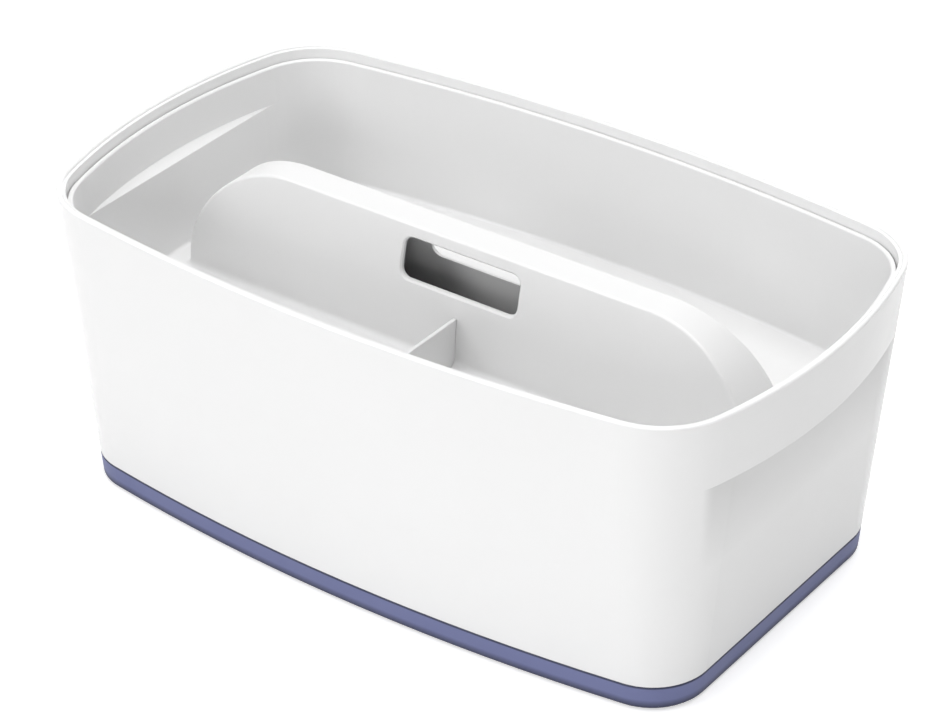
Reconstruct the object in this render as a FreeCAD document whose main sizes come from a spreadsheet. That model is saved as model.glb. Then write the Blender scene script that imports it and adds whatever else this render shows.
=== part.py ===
import FreeCAD
import Part
import math
import os
import Sketcher

# Storage tray with a ridge handle, seated in its open box with a coloured base.
# Lengths are millimetres and angles degrees. X runs along the box, -Y is the front, +Z is up.

SIZES = {
    # Outline of the box at its rim: long sides and end bands bow outwards
    "rim_length": 318.0,
    "rim_width": 191.0,
    "box_height": 129.3,
    "end_bow": 7.0,
    "side_radius": 845.0,
    "corner_radius": 34.5,
    "draft_angle": 5.0,
    # Box shell: end bands that overhang the straight end walls, each with a lip to grip it by,
    # and a step inside the rim for a lid
    "box_wall": 2.6,
    "rim_wall": 2.2,
    "rim_step": 1.0,
    "band_height": 29.6,
    "lip_height": 4.0,
    "band_draft": 2.5,
    "rim_bevel": 0.5,
    # Base pan under the shell, with a tongue that locates the shell, a fine groove round the joint
    # and a foot ring below
    "base_height": 10.6,
    "base_floor": 2.2,
    "base_bevel": 1.2,
    "joint_bevel": 0.4,
    "tongue_height": 4.0,
    "tongue_wall": 1.4,
    "tongue_gap": 0.15,
    "foot_ring_width": 9.0,
    "foot_ring_height": 1.2,
    # Tray, hung by its end bands on the ledges inside the shell
    "tray_drop": 4.9,
    "tray_gap": 0.4,
    "tray_height": 55.0,
    "tray_wall": 2.0,
    "tray_floor": 2.0,
    "tray_foot_bevel": 2.5,
    "tray_cove": 1.5,
    "tray_rim_bevel": 0.5,
    # Hollow ridge along the middle of the tray, and the finger slot through both its walls
    "ridge_end_gap": 10.1,
    "ridge_height": 50.0,
    "ridge_foot_width": 28.0,
    "ridge_top_width": 13.6,
    "ridge_end_radius": 47.0,
    "ridge_wall": 2.0,
    "ridge_round": 1.2,
    "ridge_root": 2.5,
    "slot_length": 54.0,
    "slot_height": 16.5,
    "slot_corner": 4.0,
    "slot_drop": 5.0,
    "slot_bevel": 0.7,
    # Cross divider that drops into two slits in the tray floor
    "divider_height": 20.0,
    "divider_thickness": 1.6,
    "divider_gap": 0.3,
    "divider_round": 0.4,
    "tab_length": 14.0,
    "tab_spacing": 36.0,
    # How far a cut runs past the face that it opens
    "overrun": 1.0,
}

# Places that a sketch's constraints refer to
ORIGIN, Y_AXIS = range(-1, -3, -1)
START, END, CENTRE = range(1, 4)

UPRIGHT = FreeCAD.Vector(0, 0, 1)
QUARTER = math.pi / 2
# Two points nearer than this are taken as one place
TOUCH = 0.005


class Size:
    """A length as a number, for starting geometry, and as the formula that drives it."""

    def __init__(self, number, text):
        self.number = number
        self.text = text

    def joined(self, sign, other, number):
        return Size(number, f"({self.text} {sign} {other.text})")

    def __add__(self, other):
        return self.joined("+", other, self.number + other.number)

    def __sub__(self, other):
        return self.joined("-", other, self.number - other.number)

    def __mul__(self, other):
        return self.joined("*", other, self.number * other.number)

    def __truediv__(self, other):
        return self.joined("/", other, self.number / other.number)


def size(alias):
    return Size(SIZES[alias], f"sizes.{alias}")


def root(square):
    return Size(math.sqrt(square.number), f"sqrt({square.text})")


NOTHING = Size(0, "0")
TWO = Size(2, "2")
PLUS = Size(1, "1")
MINUS = Size(-1, "-1")
WIDENING = size("draft_angle")
NARROWING = size("draft_angle") * MINUS
SLOPE = Size(math.tan(math.radians(SIZES["draft_angle"])), "tan(sizes.draft_angle)")
BAND_WIDENING = size("band_draft")
BAND_SLOPE = Size(math.tan(math.radians(SIZES["band_draft"])), "tan(sizes.band_draft)")

# Heights of the box's own steps, from the desk upwards
BAND_LEVEL = size("box_height") - size("band_height")
GRIP_LEVEL = BAND_LEVEL + size("lip_height")
LEDGE_LEVEL = GRIP_LEVEL + size("box_wall")
BASE_FLOOR_LEVEL = size("foot_ring_height") + size("base_floor")
TRAY_LEVEL = size("box_height") - size("tray_drop") - size("tray_height")
# The band leans less inside than outside, so its wall is this much thicker where the tray's rim is
THICKENING = (size("box_height") - size("tray_drop") - LEDGE_LEVEL) * (SLOPE - BAND_SLOPE)
# Heights inside the tray, from its underside upwards
SEAT_LEVEL = LEDGE_LEVEL - TRAY_LEVEL
TRAY_LEDGE_LEVEL = SEAT_LEVEL + size("tray_wall")
RIDGE_TOP_LEVEL = size("tray_floor") + size("ridge_height")
SLOT_TOP_LEVEL = RIDGE_TOP_LEVEL - size("slot_drop")
# Every outline is the rim's outline drawn inwards, so all share the centres of its arcs
CORNER_X = size("rim_length") / TWO - size("end_bow") - size("corner_radius")
SIDE_CENTRE = size("side_radius") - size("rim_width") / TWO
CORNER_REACH = size("side_radius") - size("corner_radius")
CORNER_Y = root(CORNER_REACH * CORNER_REACH - CORNER_X * CORNER_X) - SIDE_CENTRE
BOW_CHORD = CORNER_Y * CORNER_Y / size("end_bow")
END_RADIUS = size("corner_radius") + (BOW_CHORD + size("end_bow")) / TWO
# The ridge's sides are arcs that stand upright at the tray floor and lean in towards the top
RIDGE_LEAN = (size("ridge_foot_width") - size("ridge_top_width")) / TWO
RIDGE_CHORD = size("ridge_height") * size("ridge_height") / RIDGE_LEAN
RIDGE_RADIUS = (RIDGE_CHORD + RIDGE_LEAN) / TWO
RIDGE_CENTRE = RIDGE_RADIUS - size("ridge_foot_width") / TWO


def box_inset(level):
    """How far the outside of the box has drawn in at a height above the desk."""
    return (size("box_height") - level) * SLOPE


def tray_inset(level):
    """How far the outside of the tray lies inside the rim's outline, at a height above its underside."""
    return box_inset(TRAY_LEVEL + level) + size("box_wall") + THICKENING + size("tray_gap")


def tray_wall_inset(level):
    """How far the inside of the tray lies inside the rim's outline, at a height above the tray floor."""
    return tray_inset(size("tray_floor") + level) + size("tray_wall")


def front_wall_y(level):
    """Inner face of the tray's front wall at its middle, at a height above the tray floor."""
    return tray_wall_inset(level) - size("rim_width") / TWO


def ridge_half_width(level, inset):
    """Half the ridge's width, drawn in by inset, at a height above the tray's underside."""
    radius = RIDGE_RADIUS - inset
    rise = level - size("tray_floor")
    return root(radius * radius - rise * rise) - RIDGE_CENTRE


# The ridge stops short of the tray's straight end walls
RIDGE_REACH = CORNER_X + size("corner_radius") - tray_wall_inset(NOTHING) - size("ridge_end_gap")
# The divider stands midway between the tray's front wall and the ridge
DIVIDER_MIDDLE = (front_wall_y(NOTHING) - size("ridge_foot_width") / TWO) / TWO


def make_sheet(doc):
    sheet = doc.addObject("Spreadsheet::Sheet", "sizes")
    for row, (alias, value) in enumerate(SIZES.items(), start=1):
        sheet.set(f"A{row}", str(value))
        sheet.setAlias(f"A{row}", alias)
    doc.recompute()


def make_body(doc, name, level=NOTHING):
    body = doc.addObject("PartDesign::Body", name)
    body.Label = name
    body.setExpression("Placement.Base.z", level.text)
    return body


def make_sketch(body, name, plane, level=NOTHING):
    sketch = body.newObject("Sketcher::SketchObject", name)
    origin_plane = next(item for item in body.Origin.OriginFeatures if item.Role == plane)
    sketch.AttachmentSupport = [(origin_plane, "")]
    sketch.MapMode = "FlatFace"
    sketch.setExpression("AttachmentOffset.Base.z", level.text)
    return sketch


def add_arc(sketch, across, up, radius, first, last):
    circle = Part.Circle(FreeCAD.Vector(across, up), UPRIGHT, radius)
    return sketch.addGeometry(Part.ArcOfCircle(circle, first, last))


def add_line(sketch, start, stop):
    return sketch.addGeometry(Part.LineSegment(FreeCAD.Vector(*start), FreeCAD.Vector(*stop)))


def join_ends(sketch, kind, curves):
    for first, second in zip(curves, curves[1:] + curves[:1]):
        sketch.addConstraint(Sketcher.Constraint(kind, first, END, second, START))


def drive(sketch, name, length, kind, *places):
    index = sketch.addConstraint(Sketcher.Constraint(kind, *places, length.number))
    sketch.renameConstraint(index, name)
    sketch.setExpression(f"Constraints.{name}", length.text)


def drive_from_origin(sketch, name, distance, kind, curve, point):
    """Drive a point's distance from the sketch's origin, on whichever side of it the point lies."""
    if distance.number < 0:
        drive(sketch, name, distance * MINUS, kind, curve, point, ORIGIN, START)
    else:
        drive(sketch, name, distance, kind, ORIGIN, START, curve, point)


def place_point(sketch, name, curve, point, across, up):
    drive_from_origin(sketch, f"{name}_across", across, "DistanceX", curve, point)
    drive_from_origin(sketch, f"{name}_up", up, "DistanceY", curve, point)


def add_lines(sketch, corners):
    """Straight lines through the corners in order, each line's start driven to its corner."""
    lines = []
    for (across, up), (next_across, next_up) in zip(corners, corners[1:]):
        line = add_line(sketch, (across.number, up.number), (next_across.number, next_up.number))
        place_point(sketch, f"corner_{line}", line, START, across, up)
        lines.append(line)
    return lines


def closed_profile(sketch, corners):
    join_ends(sketch, "Coincident", add_lines(sketch, corners + corners[:1]))


def extrude(body, kind, sketch, length, draft=NOTHING, upwards=True, both_sides=False):
    feature = body.newObject(f"PartDesign::{kind}", f"{sketch.Name}_{kind.lower()}")
    feature.Profile = sketch
    feature.Reversed = upwards == (kind == "Pocket")
    if both_sides:
        feature.SideType = "Symmetric"
    feature.setExpression("Length", length.text)
    feature.setExpression("TaperAngle", draft.text)


def finish_edges(doc, body, kind, name, chosen):
    doc.recompute()
    base = body.Tip
    edges = [f"Edge{n}" for n, edge in enumerate(base.Shape.Edges, start=1) if chosen(edge)]
    feature = body.newObject(f"PartDesign::{kind}", name)
    feature.Base = (base, edges)
    return feature


def round_edges(doc, body, name, radius, chosen):
    finish_edges(doc, body, "Fillet", name, chosen).setExpression("Radius", radius.text)


def bevel_edges(doc, body, name, width, chosen):
    finish_edges(doc, body, "Chamfer", name, chosen).setExpression("Size", width.text)


def combine(doc, body, name, kind, tool):
    boolean = body.newObject("PartDesign::Boolean", name)
    boolean.Type = kind
    boolean.setObjects([tool])
    doc.recompute()


def flat_at(level):
    """Chooses the edges that lie at one height."""
    return lambda edge: all(abs(vertex.Z - level.number) < TOUCH for vertex in edge.Vertexes)


def outline(body, name, level, inset, bowed):
    """The rim's rounded outline drawn inwards by inset, with bowed or straight ends."""
    sketch = make_sketch(body, name, "XY_Plane", level)
    x = CORNER_X.number
    y = CORNER_Y.number
    middle = SIDE_CENTRE.number
    corner = size("corner_radius") - inset
    side = size("side_radius") - inset
    end = END_RADIUS - inset
    end_x = size("rim_length").number / 2 - END_RADIUS.number
    lean = math.atan2(x, y + middle)
    swing = math.atan2(y, x - end_x) if bowed else 0.0

    def end_curve(direction):
        if bowed:
            turn = QUARTER - direction * QUARTER
            return add_arc(sketch, direction * end_x, 0, end.number, turn - swing, turn + swing)
        wall_x = direction * (x + corner.number)
        return add_line(sketch, (wall_x, -direction * y), (wall_x, direction * y))

    right_back = add_arc(sketch, x, y, corner.number, swing, QUARTER - lean)
    back = add_arc(sketch, 0, -middle, side.number, QUARTER - lean, QUARTER + lean)
    left_back = add_arc(sketch, -x, y, corner.number, QUARTER + lean, 2 * QUARTER - swing)
    left = end_curve(-1)
    left_front = add_arc(sketch, -x, -y, corner.number, 2 * QUARTER + swing, 3 * QUARTER - lean)
    front = add_arc(sketch, 0, middle, side.number, 3 * QUARTER - lean, 3 * QUARTER + lean)
    right_front = add_arc(sketch, x, -y, corner.number, 3 * QUARTER + lean, 4 * QUARTER - swing)
    right = end_curve(1)

    join_ends(sketch, "Tangent", [right_back, back, left_back, left, left_front, front, right_front, right])
    for label, curve, sign in (("right_back", right_back, PLUS), ("right_front", right_front, PLUS),
                               ("left_back", left_back, MINUS), ("left_front", left_front, MINUS)):
        drive_from_origin(sketch, f"{label}_x", CORNER_X * sign, "DistanceX", curve, CENTRE)
    drive(sketch, "corner", corner, "Radius", right_back)
    for curve in (left_back, left_front, right_front):
        sketch.addConstraint(Sketcher.Constraint("Equal", right_back, curve))
    for label, curve, sign in (("back", back, MINUS), ("front", front, PLUS)):
        sketch.addConstraint(Sketcher.Constraint("PointOnObject", curve, CENTRE, Y_AXIS))
        drive_from_origin(sketch, f"{label}_y", SIDE_CENTRE * sign, "DistanceY", curve, CENTRE)
        drive(sketch, label, side, "Radius", curve)
    if bowed:
        drive(sketch, "left_end", end, "Radius", left)
        drive(sketch, "right_end", end, "Radius", right)
    return sketch


def make_box_shell(doc):
    body = make_body(doc, "box_shell")
    band = outline(body, "shell_band", BAND_LEVEL, box_inset(BAND_LEVEL), bowed=True)
    extrude(body, "Pad", band, size("band_height"), WIDENING)
    grip = outline(body, "grip_hollow", BAND_LEVEL, box_inset(BAND_LEVEL) + size("box_wall"), bowed=True)
    extrude(body, "Pocket", grip, size("lip_height"), WIDENING)
    lower = outline(body, "shell_wall", GRIP_LEVEL, box_inset(GRIP_LEVEL), bowed=False)
    extrude(body, "Pad", lower, GRIP_LEVEL - size("base_height"), NARROWING, upwards=False)
    bevel_edges(doc, body, "shell_foot", size("joint_bevel"), flat_at(size("base_height")))
    inner = box_inset(LEDGE_LEVEL) + size("box_wall")
    lower_cavity = outline(body, "shell_cavity", LEDGE_LEVEL, inner, bowed=False)
    extrude(body, "Pocket", lower_cavity, LEDGE_LEVEL, NARROWING, upwards=False)
    band_cavity = outline(body, "band_cavity", LEDGE_LEVEL, inner, bowed=True)
    band_depth = size("box_height") - LEDGE_LEVEL + size("overrun")
    extrude(body, "Pocket", band_cavity, band_depth, BAND_WIDENING)
    step_level = size("box_height") - size("rim_step")
    step = outline(body, "lid_step", step_level, box_inset(step_level) + size("rim_wall"), bowed=True)
    extrude(body, "Pocket", step, size("rim_step") + size("overrun"), WIDENING)
    bevel_edges(doc, body, "shell_rim", size("rim_bevel"), flat_at(size("box_height")))
    return body


def make_base_pan(doc):
    body = make_body(doc, "base_pan")
    shoulder = size("base_height")
    tongue_top = shoulder + size("tongue_height")
    tongue_inset = size("box_wall") + size("tongue_gap")
    skirt = outline(body, "pan_skirt", shoulder, box_inset(shoulder), bowed=False)
    extrude(body, "Pad", skirt, shoulder, NARROWING, upwards=False)
    bevel_edges(doc, body, "pan_shoulder", size("joint_bevel"), flat_at(shoulder))
    tongue = outline(body, "pan_tongue", shoulder, box_inset(shoulder) + tongue_inset, bowed=False)
    extrude(body, "Pad", tongue, size("tongue_height"), WIDENING)
    cavity_inset = box_inset(tongue_top) + tongue_inset + size("tongue_wall")
    cavity = outline(body, "pan_cavity", tongue_top, cavity_inset, bowed=False)
    extrude(body, "Pocket", cavity, tongue_top - BASE_FLOOR_LEVEL, NARROWING, upwards=False)
    bevel_edges(doc, body, "pan_foot", size("base_bevel"), flat_at(NOTHING))
    recess = outline(body, "pan_recess", NOTHING, box_inset(NOTHING) + size("foot_ring_width"), bowed=False)
    extrude(body, "Pocket", recess, size("foot_ring_height"))
    return body


def ridge_section(body, inset, foot_level):
    """Cross-section of the ridge: two leaning arcs between a flat crown and a flat foot."""
    sketch = make_sketch(body, f"{body.Name}_section", "YZ_Plane")
    floor = size("tray_floor")
    top = RIDGE_TOP_LEVEL - inset
    radius = RIDGE_RADIUS - inset
    half_top = ridge_half_width(top, inset).number
    half_foot = ridge_half_width(foot_level, inset).number
    low = math.asin((foot_level - floor).number / radius.number)
    high = math.asin((top - floor).number / radius.number)
    centre = RIDGE_CENTRE.number
    right = add_arc(sketch, -centre, floor.number, radius.number, low, high)
    crown = add_line(sketch, (half_top, top.number), (-half_top, top.number))
    left = add_arc(sketch, centre, floor.number, radius.number, 2 * QUARTER - high, 2 * QUARTER - low)
    foot = add_line(sketch, (-half_foot, foot_level.number), (half_foot, foot_level.number))
    join_ends(sketch, "Coincident", [right, crown, left, foot])
    for label, arc, sign in (("right", right, MINUS), ("left", left, PLUS)):
        place_point(sketch, f"{label}_centre", arc, CENTRE, RIDGE_CENTRE * sign, floor)
        drive(sketch, f"{label}_lean", radius, "Radius", arc)
    for label, line, level in (("crown", crown, top), ("foot", foot, foot_level)):
        sketch.addConstraint(Sketcher.Constraint("Horizontal", line))
        drive_from_origin(sketch, f"{label}_level", level, "DistanceY", line, START)
    return sketch


def ridge_end_cut(body, inset, sign):
    """What is cut away above one end of the ridge, to leave a quarter-round."""
    side = "right" if sign is PLUS else "left"
    sketch = make_sketch(body, f"{body.Name}_{side}_end", "XZ_Plane")
    top = RIDGE_TOP_LEVEL - inset
    reach = RIDGE_REACH - inset
    radius = size("ridge_end_radius") - inset
    bend = reach - radius
    spring = top - radius
    over = top + size("overrun")
    beyond = reach + size("overrun")
    corners = [(bend, top), (bend, over), (beyond, over), (beyond, spring), (reach, spring)]
    corners = [(across * sign, up) for across, up in corners]
    turn = 0.0
    if sign is MINUS:
        corners.reverse()
        turn = QUARTER
    centre = bend * sign
    arc = add_arc(sketch, centre.number, spring.number, radius.number, turn, turn + QUARTER)
    lines = add_lines(sketch, corners)
    join_ends(sketch, "Coincident", [arc] + lines)
    place_point(sketch, "last_corner", lines[-1], END, *corners[-1])
    drive(sketch, "bend", radius, "Radius", arc)
    return sketch


def make_ridge(doc, name, inset, foot_level):
    """The ridge as a solid block, drawn in by inset on every side."""
    body = make_body(doc, name)
    section = ridge_section(body, inset, foot_level)
    extrude(body, "Pad", section, TWO * (RIDGE_REACH - inset), both_sides=True)
    for sign in (PLUS, MINUS):
        cut = ridge_end_cut(body, inset, sign)
        extrude(body, "Pocket", cut, size("ridge_foot_width") + TWO * size("overrun"), both_sides=True)
    return body


def ridge_crest(edge):
    """Edges that run along one side of the ridge, over its top and down its ends."""
    sides = [vertex.Y for vertex in edge.Vertexes]
    top = max(vertex.Z for vertex in edge.Vertexes)
    return min(sides) * max(sides) > 0 and top > SIZES["tray_floor"]


def ridge_foot(edge):
    """Edges where the ridge stands on the tray floor."""
    half_length = RIDGE_REACH.number + TOUCH
    half_width = SIZES["ridge_foot_width"] / 2 + TOUCH
    inside = all(abs(vertex.X) < half_length and abs(vertex.Y) < half_width for vertex in edge.Vertexes)
    return inside and flat_at(size("tray_floor"))(edge)


def on_ridge_face(point):
    """Whether a point lies on the outer face of one of the ridge's leaning sides."""
    reach = math.hypot(abs(point.y) + RIDGE_CENTRE.number, point.z - SIZES["tray_floor"])
    return abs(reach - RIDGE_RADIUS.number) < TOUCH


def slot_mouth(edge):
    """Edges of the finger slot on the outer faces of the ridge."""
    middle = edge.valueAt((edge.FirstParameter + edge.LastParameter) / 2)
    points = [middle] + [vertex.Point for vertex in edge.Vertexes]
    half_length = SIZES["slot_length"] / 2 + TOUCH
    return all(abs(point.x) < half_length and on_ridge_face(point) for point in points)


def finger_slot(body):
    """A rounded rectangle below the crown of the ridge."""
    sketch = make_sketch(body, "finger_slot", "XZ_Plane")
    radius = size("slot_corner")
    inner = size("slot_length") / TWO - radius
    high = SLOT_TOP_LEVEL - radius
    low = SLOT_TOP_LEVEL - size("slot_height") + radius
    corners = [(inner, high), (inner * MINUS, high), (inner * MINUS, low), (inner, low)]
    arcs = []
    for turn, (across, up) in enumerate(corners):
        arc = add_arc(sketch, across.number, up.number, radius.number, turn * QUARTER, (turn + 1) * QUARTER)
        arcs.append(arc)
    curves = []
    for first, second in zip(arcs, arcs[1:] + arcs[:1]):
        line = add_line(sketch, sketch.getPoint(first, END), sketch.getPoint(second, START))
        curves += [first, line]
    join_ends(sketch, "Tangent", curves)
    for arc, (across, up) in zip(arcs, corners):
        place_point(sketch, f"corner_{arc}", arc, CENTRE, across, up)
    drive(sketch, "corner", radius, "Radius", arcs[0])
    return sketch


def tab_ends(sign):
    """Near and far end of one of the divider's two tabs, along Y."""
    middle = DIVIDER_MIDDLE + size("tab_spacing") / TWO * sign
    half = size("tab_length") / TWO
    return middle - half, middle + half


def tab_slits(body):
    """Slits in the tray floor, a gap larger than the divider's tabs all round."""
    sketch = make_sketch(body, "tab_slits", "XY_Plane")
    half = size("divider_thickness") / TWO + size("divider_gap")
    for sign in (MINUS, PLUS):
        near, far = tab_ends(sign)
        low = near - size("divider_gap")
        high = far + size("divider_gap")
        closed_profile(sketch, [(half * MINUS, low), (half, low), (half, high), (half * MINUS, high)])
    return sketch


def make_handle_tray(doc):
    body = make_body(doc, "handle_tray", TRAY_LEVEL)
    outer = tray_inset(SEAT_LEVEL)
    lower = outline(body, "tray_wall_lower", SEAT_LEVEL, outer, bowed=False)
    extrude(body, "Pad", lower, SEAT_LEVEL, NARROWING, upwards=False)
    band = outline(body, "tray_band", SEAT_LEVEL, outer, bowed=True)
    extrude(body, "Pad", band, size("tray_height") - SEAT_LEVEL, WIDENING)
    inner = tray_inset(TRAY_LEDGE_LEVEL) + size("tray_wall")
    lower_cavity = outline(body, "tray_cavity", TRAY_LEDGE_LEVEL, inner, bowed=False)
    extrude(body, "Pocket", lower_cavity, TRAY_LEDGE_LEVEL - size("tray_floor"), NARROWING, upwards=False)
    band_cavity = outline(body, "tray_band_cavity", TRAY_LEDGE_LEVEL, inner, bowed=True)
    extrude(body, "Pocket", band_cavity, size("tray_height") - TRAY_LEDGE_LEVEL + size("overrun"), WIDENING)
    bevel_edges(doc, body, "tray_foot", size("tray_foot_bevel"), flat_at(NOTHING))
    round_edges(doc, body, "tray_cove", size("tray_cove"), flat_at(size("tray_floor")))
    bevel_edges(doc, body, "tray_rim", size("tray_rim_bevel"), flat_at(size("tray_height")))

    ridge = make_ridge(doc, "ridge", NOTHING, size("tray_floor") / TWO)
    round_edges(doc, ridge, "ridge_crest", size("ridge_round"), ridge_crest)
    combine(doc, body, "ridge_on_tray", "Fuse", ridge)
    round_edges(doc, body, "ridge_root", size("ridge_root"), ridge_foot)
    core = make_ridge(doc, "core", size("ridge_wall"), NOTHING - size("overrun"))
    combine(doc, body, "ridge_hollow", "Cut", core)
    extrude(body, "Pocket", finger_slot(body), size("ridge_foot_width"), both_sides=True)
    bevel_edges(doc, body, "slot_mouth", size("slot_bevel"), slot_mouth)
    extrude(body, "Pocket", tab_slits(body), size("tray_floor"))
    return body


def divider_crest(edge):
    """The two long edges along the top of the divider."""
    along = abs(edge.Vertexes[0].X - edge.Vertexes[-1].X) < TOUCH
    return along and flat_at(size("divider_height"))(edge)


def ridge_clearance(body):
    """A circle about the axis of the ridge's front side, larger than that side by the divider's gap."""
    sketch = make_sketch(body, "ridge_clearance", "YZ_Plane")
    radius = RIDGE_RADIUS + size("divider_gap")
    centre = FreeCAD.Vector(RIDGE_CENTRE.number, 0)
    circle = sketch.addGeometry(Part.Circle(centre, UPRIGHT, radius.number))
    place_point(sketch, "centre", circle, CENTRE, RIDGE_CENTRE, NOTHING)
    drive(sketch, "reach", radius, "Radius", circle)
    return sketch


def make_cross_divider(doc):
    body = make_body(doc, "cross_divider", TRAY_LEVEL + size("tray_floor"))
    sketch = make_sketch(body, "divider_plate", "YZ_Plane")
    gap = size("divider_gap")
    top = size("divider_height")
    cove = size("tray_cove")
    ridge_root = size("ridge_root")
    ridge_face = size("ridge_foot_width") / TWO * MINUS - gap
    ridge_head = size("ridge_top_width") / TWO * MINUS
    tab_foot = size("tray_floor") * MINUS
    corners = [(front_wall_y(NOTHING) + gap + cove, NOTHING)]
    for sign in (MINUS, PLUS):
        near, far = tab_ends(sign)
        corners += [(near, NOTHING), (near, tab_foot), (far, tab_foot), (far, NOTHING)]
    corners += [(ridge_face - ridge_root, NOTHING), (ridge_face, ridge_root), (ridge_head, ridge_root)]
    corners += [(ridge_head, top), (front_wall_y(top) + gap, top), (front_wall_y(cove) + gap, cove)]
    closed_profile(sketch, corners)
    thickness = size("divider_thickness")
    extrude(body, "Pad", sketch, thickness, both_sides=True)
    extrude(body, "Pocket", ridge_clearance(body), thickness + size("overrun"), both_sides=True)
    round_edges(doc, body, "divider_top", size("divider_round"), divider_crest)
    return body


doc = FreeCAD.newDocument("storage_tray")
make_sheet(doc)
parts = [make_box_shell(doc), make_base_pan(doc), make_handle_tray(doc), make_cross_divider(doc)]
doc.recompute()
for item in doc.Objects:
    if "Invalid" in item.State or "Error" in item.State:
        raise RuntimeError(f"{item.Label} failed: {item.State}")
for part in parts:
    if part.Shape.isNull() or not part.Shape.isValid():
        raise RuntimeError(f"{part.Label} has no sound shape")
os.makedirs("parts", exist_ok=True)
for part in parts:
    part.Shape.exportStep(f"parts/{part.Label}.step")
    print(part.Label, len(part.Shape.Solids), "solid", round(part.Shape.Volume), "cubic mm")
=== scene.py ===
import math

import bpy
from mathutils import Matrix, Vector

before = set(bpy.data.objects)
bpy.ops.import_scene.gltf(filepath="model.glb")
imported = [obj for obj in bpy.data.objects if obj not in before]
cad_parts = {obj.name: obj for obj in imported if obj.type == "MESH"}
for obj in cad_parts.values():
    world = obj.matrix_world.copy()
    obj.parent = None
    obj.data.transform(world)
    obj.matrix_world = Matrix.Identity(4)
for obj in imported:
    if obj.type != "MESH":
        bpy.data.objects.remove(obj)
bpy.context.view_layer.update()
scene = bpy.context.scene
scene.view_settings.view_transform = "Standard"
print("frame loaded:", ", ".join(sorted(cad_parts)))


# node trees: what is fed to a socket is a number, a colour, or a pair of a node and its output

colourMix = {"factor": 0, "first": 6, "second": 7, "result": 2}        # sockets of a Mix node set to colours
nodeGrid = {"across": 240, "down": 260}        # spacing in the node editor


def addNode(tree, kind, **values):
    node = tree.nodes.new(kind)
    for name, value in values.items():
        if name in node.inputs:
            node.inputs[name].default_value = value
        else:
            setattr(node, name, value)
    return node


def feed(tree, node, socket, value):
    if isinstance(value, tuple) and isinstance(value[0], bpy.types.Node):
        source, output = value
        tree.links.new(source.outputs[output], node.inputs[socket])
    else:
        node.inputs[socket].default_value = value


def calculate(tree, operation, *values):
    node = addNode(tree, "ShaderNodeMath", operation=operation)
    for socket, value in enumerate(values):
        feed(tree, node, socket, value)
    return node, "Value"


def remap(tree, value, start, end, low=0.0, high=1.0, curve="LINEAR"):
    node = addNode(tree, "ShaderNodeMapRange", interpolation_type=curve)
    sockets = {"Value": value, "From Min": start, "From Max": end, "To Min": low, "To Max": high}
    for socket, item in sockets.items():
        feed(tree, node, socket, item)
    return node, "Result"


def mixColours(tree, factor, first, second, kind="MIX"):
    node = addNode(tree, "ShaderNodeMix", data_type="RGBA", blend_type=kind)
    for label, item in {"factor": factor, "first": first, "second": second}.items():
        feed(tree, node, colourMix[label], item)
    return node, colourMix["result"]


def splitAxes(tree, value):
    axes = addNode(tree, "ShaderNodeSeparateXYZ")
    feed(tree, axes, "Vector", value)
    return axes


def opaque(colour):
    return (*colour, 1.0)


def freshTree(owner):
    owner.use_nodes = True
    owner.node_tree.nodes.clear()
    return owner.node_tree


def newGroup(name, inputs, outputs):
    group = bpy.data.node_groups.new(name, "ShaderNodeTree")
    for label, value in inputs.items():
        socket = group.interface.new_socket(label, in_out="INPUT", socket_type="NodeSocketFloat")
        socket.default_value = value
    for label, kind in outputs.items():
        group.interface.new_socket(label, in_out="OUTPUT", socket_type=kind)
    return group, addNode(group, "NodeGroupInput"), addNode(group, "NodeGroupOutput")


def layOut(tree):
    # a node's column is the most links that lie between it and the end of its tree
    column = {node.name: 0 for node in tree.nodes}
    for _ in tree.nodes:
        for link in tree.links:
            steps = column[link.to_node.name] + 1
            column[link.from_node.name] = max(column[link.from_node.name], steps)
    filled = {}
    for node in tree.nodes:
        across = column[node.name]
        row = filled.get(across, 0)
        filled[across] = row + 1
        node.location = (-across * nodeGrid["across"], -row * nodeGrid["down"])


# moulded skin: fine orange peel or spark erosion, slow tone drift and a little uneven gloss

skinLook = {
    "millimetres": 1000.0,        # in a metre, for the size of the grain
    "grain": {"Detail": 2.0, "Roughness": 0.55},
    "flow": {"Scale": 14.0, "Detail": 3.0, "Roughness": 0.5},
    "flowRange": (0.3, 0.7),
    "smudge": {"Scale": 38.0, "Detail": 4.0, "Roughness": 0.6},
    "smudgeRange": (0.42, 0.66),
}


def addNoise(tree, where, values):
    noise = addNode(tree, "ShaderNodeTexNoise", **values)
    feed(tree, noise, "Vector", where)
    return noise


def buildMouldedSkin(look):
    inputs = {"Grain Size": 0.5, "Grain Depth": 0.3, "Drift": 0.02, "Gloss Drift": 0.05, "Roughness": 0.3}
    outputs = {"Tone": "NodeSocketFloat", "Roughness": "NodeSocketFloat", "Height": "NodeSocketFloat"}
    group, start, end = newGroup("mouldedSkin", inputs, outputs)
    where = (addNode(group, "ShaderNodeTexCoord"), "Object")

    grain = addNoise(group, where, look["grain"])
    feed(group, grain, "Scale", calculate(group, "DIVIDE", look["millimetres"], (start, "Grain Size")))
    feed(group, end, "Height", calculate(group, "MULTIPLY", (grain, "Fac"), (start, "Grain Depth")))

    flow = addNoise(group, where, look["flow"])
    dullest = calculate(group, "SUBTRACT", 1.0, (start, "Drift"))
    feed(group, end, "Tone", remap(group, (flow, "Fac"), *look["flowRange"], low=dullest))

    smudge = addNoise(group, where, look["smudge"])
    patches = remap(group, (smudge, "Fac"), *look["smudgeRange"], curve="SMOOTHSTEP")
    gloss = calculate(group, "MULTIPLY_ADD", patches, (start, "Gloss Drift"), (start, "Roughness"))
    feed(group, end, "Roughness", gloss)
    layOut(group)
    return group


# soft edge: a rounded normal, and a mask of where the surface turns

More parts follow.
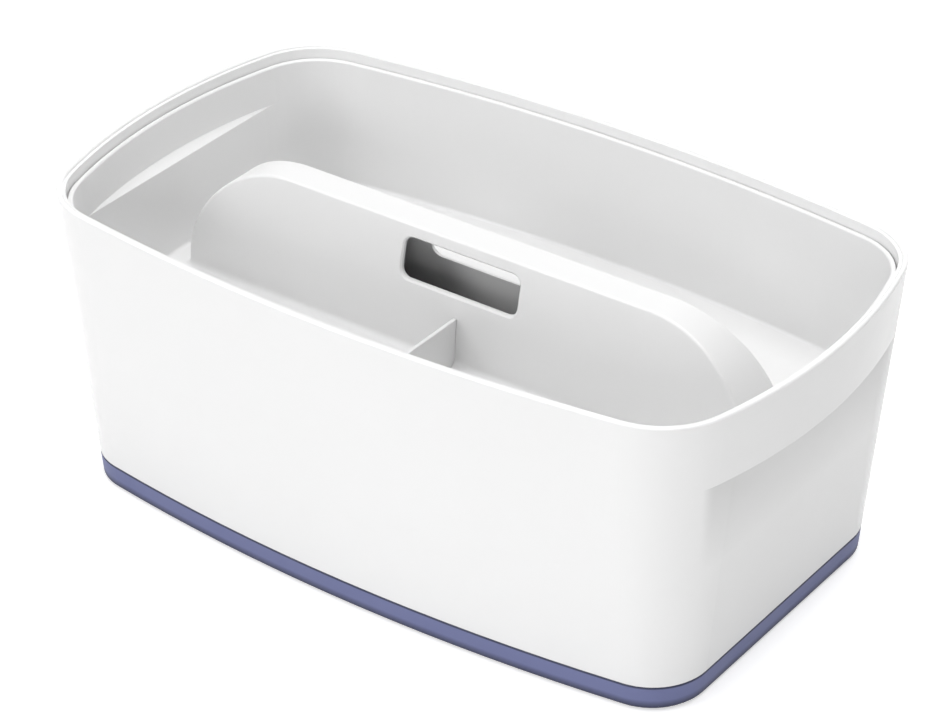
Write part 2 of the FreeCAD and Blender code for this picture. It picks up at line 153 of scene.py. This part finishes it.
edgeLook = {
    "samples": 6,
    "flat": 0.995,        # cosine of the turn where the mask starts
    "turned": 0.8,        # and where it is full
}


def buildSoftEdge(look):
    outputs = {"Normal": "NodeSocketVector", "Edge": "NodeSocketFloat"}
    group, start, end = newGroup("softEdge", {"Radius": 0.0005}, outputs)
    rounded = addNode(group, "ShaderNodeBevel", samples=look["samples"])
    feed(group, rounded, "Radius", (start, "Radius"))
    plain = addNode(group, "ShaderNodeNewGeometry")
    turn = addNode(group, "ShaderNodeVectorMath", operation="DOT_PRODUCT")
    feed(group, turn, 0, (rounded, "Normal"))
    feed(group, turn, 1, (plain, "Normal"))
    feed(group, end, "Normal", (rounded, "Normal"))
    feed(group, end, "Edge", remap(group, (turn, "Value"), look["flat"], look["turned"]))
    layOut(group)
    return group


mouldedSkin = buildMouldedSkin(skinLook)
softEdge = buildSoftEdge(edgeLook)
print("finishes built:", mouldedSkin.name, softEdge.name)


# moulded plastic: the skin and its edges, which take a painted highlight on the white pieces and painted
# shade on the base, with painted shade in lines round a piece and under its lip where it has them

skinSockets = {
    "Grain Size": "grainSize",
    "Grain Depth": "grainDepth",
    "Drift": "drift",
    "Gloss Drift": "glossDrift",
    "Roughness": "roughness",
}


def addPaintedShadeLines(tree, mask, lines):
    # painted shade: dark lines that run round a piece at fixed heights, each with its own soft edge
    place = splitAxes(tree, (addNode(tree, "ShaderNodeTexCoord"), "Object"))
    for line in lines.values():
        away = calculate(tree, "ABSOLUTE", calculate(tree, "SUBTRACT", (place, "Z"), line["height"]))
        mask = calculate(tree, "MAXIMUM", mask, remap(tree, away, line["clear"], line["full"]))
    return mask


def paintedLipShade(tree, lip):
    # painted shade under the lip: it grows up the end walls to the lip that hangs over them, and leaves out
    # the long sides and the inside
    where = addNode(tree, "ShaderNodeTexCoord")
    place = splitAxes(tree, (where, "Object"))
    facing = splitAxes(tree, (where, "Normal"))
    outwards = calculate(tree, "MULTIPLY", (place, "X"), (facing, "X"))
    end = remap(tree, outwards, lip["corner"], lip["end"], curve="SMOOTHSTEP")
    near = remap(tree, (place, "Z"), lip["edge"] - lip["fade"], lip["edge"])
    under = calculate(tree, "LESS_THAN", (place, "Z"), lip["edge"])
    return calculate(tree, "MULTIPLY", calculate(tree, "MULTIPLY", near, under), end)


def mouldedPlastic(name, look):
    material = bpy.data.materials.new(name)
    tree = freshTree(material)
    skin = addNode(tree, "ShaderNodeGroup", node_tree=mouldedSkin)
    for socket, value in skinSockets.items():
        feed(tree, skin, socket, look[value])
    edges = addNode(tree, "ShaderNodeGroup", node_tree=softEdge)
    feed(tree, edges, "Radius", look["edgeRadius"])

    colour = mixColours(tree, 1.0, opaque(look["colour"]), (skin, "Tone"), "MULTIPLY")
    # painted shade under the lip, where the piece has one
    if "lip" in look:
        colour = mixColours(tree, paintedLipShade(tree, look["lip"]), colour, opaque(look["lip"]["colour"]))
    paintedEdgeMask = (edges, "Edge")
    if "lines" in look:
        paintedEdgeMask = addPaintedShadeLines(tree, paintedEdgeMask, look["lines"])
    # painted light at the edges: the edge colour paints a highlight where it is lighter than the piece and
    # shade where it is darker
    colour = mixColours(tree, paintedEdgeMask, colour, opaque(look["paintedEdgeColour"]))

    bump = addNode(tree, "ShaderNodeBump", Strength=look["bumpStrength"], Distance=look["bumpDistance"])
    feed(tree, bump, "Height", (skin, "Height"))
    feed(tree, bump, "Normal", (edges, "Normal"))

    shader = addNode(tree, "ShaderNodeBsdfPrincipled", IOR=look["ior"])
    feed(tree, shader, "Base Color", colour)
    feed(tree, shader, "Roughness", (skin, "Roughness"))
    feed(tree, shader, "Normal", (bump, "Normal"))
    surface = addNode(tree, "ShaderNodeOutputMaterial")
    feed(tree, surface, "Surface", (shader, "BSDF"))
    layOut(tree)
    return material


def dress(node, material):
    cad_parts[node].material_slots[0].material = material


# box shell: glossy white moulding, with a painted shade under the lips at its ends

boxShell = {
    "colour": (0.86, 0.86, 0.86),
    # painted highlight: the edges lighten towards this white
    "paintedEdgeColour": (0.96, 0.96, 0.96),
    "ior": 1.5,
    "roughness": 0.22,
    "glossDrift": 0.05,
    "drift": 0.012,
    "grainSize": 0.9,        # millimetres
    "grainDepth": 0.3,
    "bumpStrength": 0.12,
    "bumpDistance": 0.0002,
    "edgeRadius": 0.0006,
    "lip": {
        "edge": 0.0997,        # metres up to the lip's lower edge
        "fade": 0.038,        # and down from there to the end of its shade
        "corner": 0.129,        # distance from the middle times how squarely a face looks out of the end
        "end": 0.1415,
        # the painted shade's colour under the lips
        "colour": (0.665, 0.665, 0.665),
    },
}
dress("box_shell", mouldedPlastic("whiteShell", boxShell))


# base pan: violet-blue moulding with a spark-eroded satin, with painted shade at its foot, along its edges
# and at the joint with the shell

basePan = {
    "colour": (0.143, 0.161, 0.32),
    # painted shade: the edges and the lines darken towards this colour
    "paintedEdgeColour": (0.03, 0.034, 0.075),
    "ior": 1.5,
    "roughness": 0.55,
    "glossDrift": 0.06,
    "drift": 0.06,
    "grainSize": 0.35,
    "grainDepth": 0.6,
    "bumpStrength": 0.3,
    "bumpDistance": 0.0002,
    "edgeRadius": 0.0006,
    # painted shade at the foot and in the joint with the shell
    "lines": {
        "foot": {"height": 0.0, "full": 0.0016, "clear": 0.0046},        # metres from the line's middle
        "joint": {"height": 0.0104, "full": 0.0003, "clear": 0.0007},
    },
}
dress("base_pan", mouldedPlastic("violetBase", basePan))


# handle tray: satin white moulding

handleTray = {
    "colour": (0.8, 0.8, 0.8),
    # painted highlight: the edges lighten towards this white
    "paintedEdgeColour": (0.95, 0.95, 0.95),
    "ior": 1.5,
    "roughness": 0.34,
    "glossDrift": 0.06,
    "drift": 0.012,
    "grainSize": 0.7,
    "grainDepth": 0.4,
    "bumpStrength": 0.12,
    "bumpDistance": 0.0002,
    "edgeRadius": 0.0005,
}
dress("handle_tray", mouldedPlastic("whiteTray", handleTray))


# cross divider: thin satin white plate

crossDivider = {
    # painted shade: a little darker than the tray's white
    "colour": (0.76, 0.76, 0.76),
    # painted highlight: the edges lighten towards this white
    "paintedEdgeColour": (0.93, 0.93, 0.93),
    "ior": 1.5,
    "roughness": 0.36,
    "glossDrift": 0.05,
    "drift": 0.012,
    "grainSize": 0.6,
    "grainDepth": 0.4,
    "bumpStrength": 0.12,
    "bumpDistance": 0.0002,
    "edgeRadius": 0.0003,
}
dress("cross_divider", mouldedPlastic("whiteDivider", crossDivider))
print("pieces dressed")


def backdropRays(tree):
    # 1 for the rays that show the backdrop: camera, glossy and transmission
    path = addNode(tree, "ShaderNodeLightPath")
    seen = calculate(tree, "MAXIMUM", (path, "Is Camera Ray"), (path, "Is Glossy Ray"))
    return calculate(tree, "MAXIMUM", seen, (path, "Is Transmission Ray"))


# floor: a pale table that keeps a soft shadow and fades into the white backdrop

floorLook = {
    "half": 6.0,
    "drop": 0.0004,        # just clear of the foot
    "colour": (0.8, 0.8, 0.8),
    "glow": 0.55,
    "nearEdge": 0.45,        # metres from the part where the shadow's floor starts to fade out
    "farEdge": 1.2,
    "farGlow": 1.0,
}


def buildFloor(look):
    half = look["half"]
    corners = [(-half, -half, 0), (half, -half, 0), (half, half, 0), (-half, half, 0)]
    mesh = bpy.data.meshes.new("floor")
    mesh.from_pydata(corners, [], [tuple(range(len(corners)))])
    floor = bpy.data.objects.new("floor", mesh)
    floor.location.z = -look["drop"]
    scene.collection.objects.link(floor)

    material = bpy.data.materials.new("paleFloor")
    mesh.materials.append(material)
    tree = freshTree(material)
    matte = addNode(tree, "ShaderNodeBsdfDiffuse", Color=opaque(look["colour"]))
    away = addNode(tree, "ShaderNodeVectorMath", operation="LENGTH")
    feed(tree, away, 0, (addNode(tree, "ShaderNodeTexCoord"), "Object"))
    reach = (look["nearEdge"], look["farEdge"])
    fade = remap(tree, (away, "Value"), *reach, look["glow"], look["farGlow"], "SMOOTHSTEP")
    glow = addNode(tree, "ShaderNodeEmission")
    feed(tree, glow, "Strength", calculate(tree, "MULTIPLY", backdropRays(tree), fade))
    both = addNode(tree, "ShaderNodeAddShader")
    feed(tree, both, 0, (matte, "BSDF"))
    feed(tree, both, 1, (glow, "Emission"))
    surface = addNode(tree, "ShaderNodeOutputMaterial")
    feed(tree, surface, "Surface", (both, "Shader"))
    layOut(tree)


buildFloor(floorLook)


# world: white to the eye, a weak fill on the part

worldLook = {
    "fill": 0.12,
    "white": 1.0,
}


def buildWorld(look):
    world = bpy.data.worlds.new("studio")
    scene.world = world
    tree = freshTree(world)
    sky = addNode(tree, "ShaderNodeBackground", Color=opaque((1, 1, 1)))
    feed(tree, sky, "Strength", remap(tree, backdropRays(tree), 0.0, 1.0, look["fill"], look["white"]))
    surface = addNode(tree, "ShaderNodeOutputWorld")
    feed(tree, surface, "Surface", (sky, "Background"))
    layOut(tree)


buildWorld(worldLook)


# lamps: a large soft box above, two in front, two behind and a weak one to the right

lampAim = Vector((0, 0, 0.06))        # half way up the box
lamps = {
    "overhead": {"place": (0.0, 0.0, 1.6), "size": (1.4, 1.4), "power": 22.0},
    "rear": {"place": (0.0, 1.0, 1.4), "size": (1.4, 0.9), "power": 3.0},
    "rearLow": {"place": (-0.3, 1.7, 0.4), "size": (1.2, 0.6), "power": 7.0},
    "frontRight": {"place": (0.9, -1.6, 0.4), "size": (0.6, 0.8), "power": 11.5},
    "frontLeft": {"place": (-1.0, -1.25, 1.0), "size": (1.0, 0.8), "power": 10.0},
    "right": {"place": (1.8, 0.1, 0.3), "size": (1.2, 0.6), "power": 1.2},
}


def lookAlong(direction):
    return direction.to_track_quat("-Z", "Y").to_euler()


def buildLamp(name, look):
    lamp = bpy.data.lights.new(name, "AREA")
    lamp.shape = "RECTANGLE"
    lamp.size, lamp.size_y = look["size"]
    lamp.energy = look["power"]
    holder = bpy.data.objects.new(name, lamp)
    holder.location = look["place"]
    holder.rotation_euler = lookAlong(lampAim - Vector(look["place"]))
    scene.collection.objects.link(holder)


for lampName, lampLook in lamps.items():
    buildLamp(lampName, lampLook)
print("floor, world and", len(lamps), "lamps set")


# camera: the photograph's angle, drawn in round the part

photoCamera = {
    "azimuth": 35.86,
    "elevation": 32.0,
    "distance": 1.3653,
    "target": (0.0, 0.0, 0.0653),
    "focalPixels": 3535.0,
    "imageWidth": 950.0,
    "sensor": 36.0,
}


def buildCamera(look):
    data = bpy.data.cameras.new("photoCamera")
    data.sensor_fit = "HORIZONTAL"
    data.sensor_width = look["sensor"]
    data.lens = look["focalPixels"] / look["imageWidth"] * look["sensor"]
    camera = bpy.data.objects.new("photoCamera", data)
    turn = math.radians(look["azimuth"])
    rise = math.radians(look["elevation"])
    back = Vector((math.sin(turn) * math.cos(rise), -math.cos(turn) * math.cos(rise), math.sin(rise)))
    camera.location = Vector(look["target"]) + back * look["distance"]
    camera.rotation_euler = lookAlong(-back)
    scene.collection.objects.link(camera)
    scene.camera = camera


buildCamera(photoCamera)
print("camera set")
